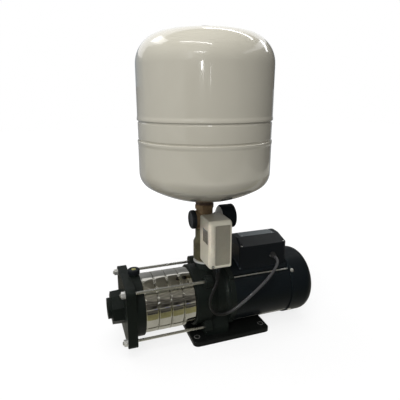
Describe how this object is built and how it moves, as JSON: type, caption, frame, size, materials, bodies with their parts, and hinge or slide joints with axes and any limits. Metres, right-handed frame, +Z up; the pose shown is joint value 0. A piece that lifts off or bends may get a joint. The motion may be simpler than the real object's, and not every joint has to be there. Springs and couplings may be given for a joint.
{
  "type": "booster pump with pressure tank",
  "caption": "Horizontal multistage booster pump with motor, foot plate, brass five-way fitting, gauge, pressure switch and an upright pressure tank.",
  "frame": {"origin": "on the underside of the foot plate, below the axis of the outlet and the tank", "axes": "+X along the shaft towards the motor, -Y towards the pressure switch, +Z up"},
  "size_m": [0.48, 0.28, 0.6645],
  "materials": {
    "black_casting": "black paint on cast iron, semi-gloss",
    "black_plate": "black paint, semi-gloss",
    "black_paint": "black enamel, semi-gloss",
    "polished_steel": "stainless steel polished to a mirror",
    "zinc_steel": "zinc plated steel",
    "bright_steel": "bright plated steel",
    "shaft_steel": "ground steel",
    "dark_steel": "blackened steel",
    "lamination_steel": "stacked steel sheets",
    "copper_winding": "varnished copper wire",
    "brass": "aged brass",
    "plate_aluminium": "satin aluminium",
    "black_polymer": "black plastic",
    "grey_polymer": "grey plastic",
    "white_polymer": "white plastic",
    "cream_polymer": "cream plastic",
    "smoked_polymer": "smoked plastic",
    "seal_ceramic": "ground ceramic",
    "seal_rubber": "black rubber",
    "cable_sheath": "dark grey cable sheath",
    "dial_face": "white printed dial",
    "pointer_paint": "black paint",
    "clear_glass": "clear window",
    "cream_paint": "cream enamel, gloss"
  },
  "bodies": {
    "pump": {"suction_head": "black_casting", "discharge_head": "black_casting", "foot_plate": "black_plate", "stage_ring_1": "polished_steel", "stage_ring_2": "polished_steel", "stage_ring_3": "polished_steel", "stage_ring_4": "polished_steel", "diffusers": "grey_polymer", "chamber_seals": "seal_rubber", "fill_plug": "grey_polymer", "vent_screw": "brass", "drain_plug": "brass", "tie_rods": "zinc_steel", "tie_rod_nuts": "zinc_steel", "foot_screws": "zinc_steel", "seal_seat": "seal_ceramic", "bearing_outer_rings": "shaft_steel", "motor_shell": "black_paint", "stator_core": "lamination_steel", "stator_windings": "copper_winding", "rear_shield": "black_paint", "motor_bolts": "zinc_steel", "fan_cover": "black_paint", "fan_cover_screws": "bright_steel", "terminal_box": "black_polymer", "terminal_box_cover": "black_polymer", "terminal_box_screws": "bright_steel", "rating_plate": "plate_aluminium", "capacitor": "white_polymer", "motor_gland": "black_polymer", "switch_gland": "black_polymer", "switch_cable": "cable_sheath", "port_washer": "white_polymer", "check_valve_body": "brass", "five_way_fitting": "brass", "outlet_cap": "black_polymer", "gauge_stem": "brass", "gauge_case": "dark_steel", "gauge_dial": "dial_face", "gauge_window": "clear_glass", "switch_cover": "cream_polymer", "switch_window": "smoked_polymer", "switch_base": "zinc_steel", "contact_block": "black_polymer", "tank_lower_shell": "cream_paint", "tank_upper_shell": "cream_paint", "tank_band": "cream_paint", "tank_diaphragm": "seal_rubber", "tank_connector": "zinc_steel", "air_valve": "brass", "air_valve_cap": "black_polymer"},
    "rotor": {"pump_shaft": "shaft_steel", "impellers": "grey_polymer", "seal_head": "shaft_steel", "rotor_core": "lamination_steel", "fan": "black_polymer", "bearing_inner_rings": "shaft_steel"},
    "gauge_needle": {"gauge_pointer": "pointer_paint"},
    "valve_disc": {"check_valve_disc": "brass"},
    "plunger": {"switch_plunger": "shaft_steel"}
  },
  "joints": [
    {"name": "rotor_spin", "type": "hinge", "parent": "pump", "child": "rotor", "pos_m": [0, 0, 0.088], "axis": [1, 0, 0], "continuous": true},
    {"name": "needle_turn", "type": "hinge", "parent": "pump", "child": "gauge_needle", "pos_m": [0.062, 0, 0.27], "axis": [-1, 0, 0], "range_deg": [0, 270], "stiffness_Nm_per_rad": 0.0005},
    {"name": "valve_lift", "type": "slide", "parent": "pump", "child": "valve_disc", "axis": [0, 0, 1], "range_m": [0, 0.006]},
    {"name": "plunger_press", "type": "slide", "parent": "pump", "child": "plunger", "axis": [0, -1, 0], "range_m": [0, 0.0015], "stiffness_N_per_m": 2000}
  ]
}
